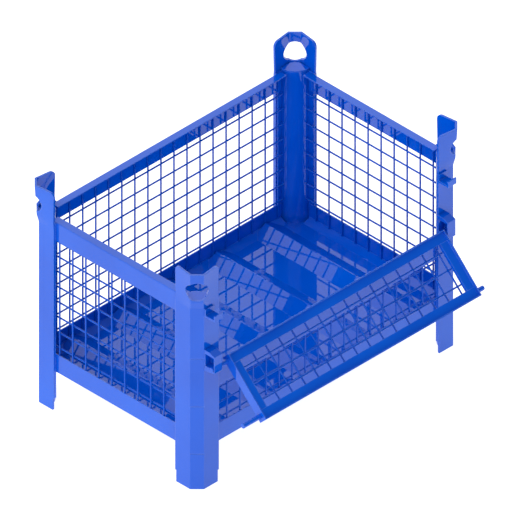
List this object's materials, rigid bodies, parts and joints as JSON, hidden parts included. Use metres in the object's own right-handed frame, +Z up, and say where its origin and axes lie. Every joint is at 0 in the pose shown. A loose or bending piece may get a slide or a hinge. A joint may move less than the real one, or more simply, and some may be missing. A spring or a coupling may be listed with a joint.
{
  "type": "wire mesh container",
  "caption": "Stackable wire mesh container with angle posts, crane lugs, a pressed floor, welded mesh walls and a drop gate in the front wall.",
  "frame": {"origin": "on the ground, under the middle of the container's bounding box with the gate half open", "axes": "+X along the long walls, +Z up, the drop gate on the -Y side"},
  "size_m": [1.026, 0.8188, 0.718],
  "materials": {
    "blue_paint": "glossy blue enamel"
  },
  "bodies": {
    "container": {"bottom_rail_front": "blue_paint", "bottom_rail_left": "blue_paint", "bottom_rail_rear": "blue_paint", "bottom_rail_right": "blue_paint", "corner_gusset_front_left": "blue_paint", "corner_gusset_front_right": "blue_paint", "corner_gusset_rear_left": "blue_paint", "corner_gusset_rear_right": "blue_paint", "edge_strip_front_left": "blue_paint", "edge_strip_front_right": "blue_paint", "edge_strip_left_front": "blue_paint", "edge_strip_left_rear": "blue_paint", "edge_strip_rear_left": "blue_paint", "edge_strip_rear_right": "blue_paint", "edge_strip_right_front": "blue_paint", "edge_strip_right_rear": "blue_paint", "floor_pan": "blue_paint", "gate_hinge_bracket_left": "blue_paint", "gate_hinge_bracket_right": "blue_paint", "gate_hook_left": "blue_paint", "gate_hook_right": "blue_paint", "gate_sill_rail": "blue_paint", "post_cover_front_left": "blue_paint", "post_cover_front_right": "blue_paint", "post_cover_rear_left": "blue_paint", "post_cover_rear_right": "blue_paint", "post_front_left": "blue_paint", "post_front_right": "blue_paint", "post_rear_left": "blue_paint", "post_rear_right": "blue_paint", "stacking_seat_front_left": "blue_paint", "stacking_seat_front_right": "blue_paint", "stacking_seat_rear_left": "blue_paint", "stacking_seat_rear_right": "blue_paint", "top_rail_left": "blue_paint", "top_rail_rear": "blue_paint", "top_rail_right": "blue_paint", "wall_mesh_front": "blue_paint", "wall_mesh_left": "blue_paint", "wall_mesh_rear": "blue_paint", "wall_mesh_right": "blue_paint"},
    "gate_pivot": {"gate_pivot_rod": "blue_paint"},
    "gate": {"gate_lock_rod": "blue_paint", "gate_frame_hinge_side": "blue_paint", "gate_frame_lock_side": "blue_paint", "gate_frame_left_end": "blue_paint", "gate_frame_right_end": "blue_paint", "gate_mesh": "blue_paint"}
  },
  "joints": [
    {"name": "gate_lift", "type": "slide", "parent": "container", "child": "gate_pivot", "axis": [0, 0, 1], "range_m": [0, 0.03]},
    {"name": "gate_swing", "type": "hinge", "parent": "gate_pivot", "child": "gate", "pos_m": [0, -0.2616, 0.411], "axis": [1, 0, 0], "range_deg": [-135, 45]}
  ]
}
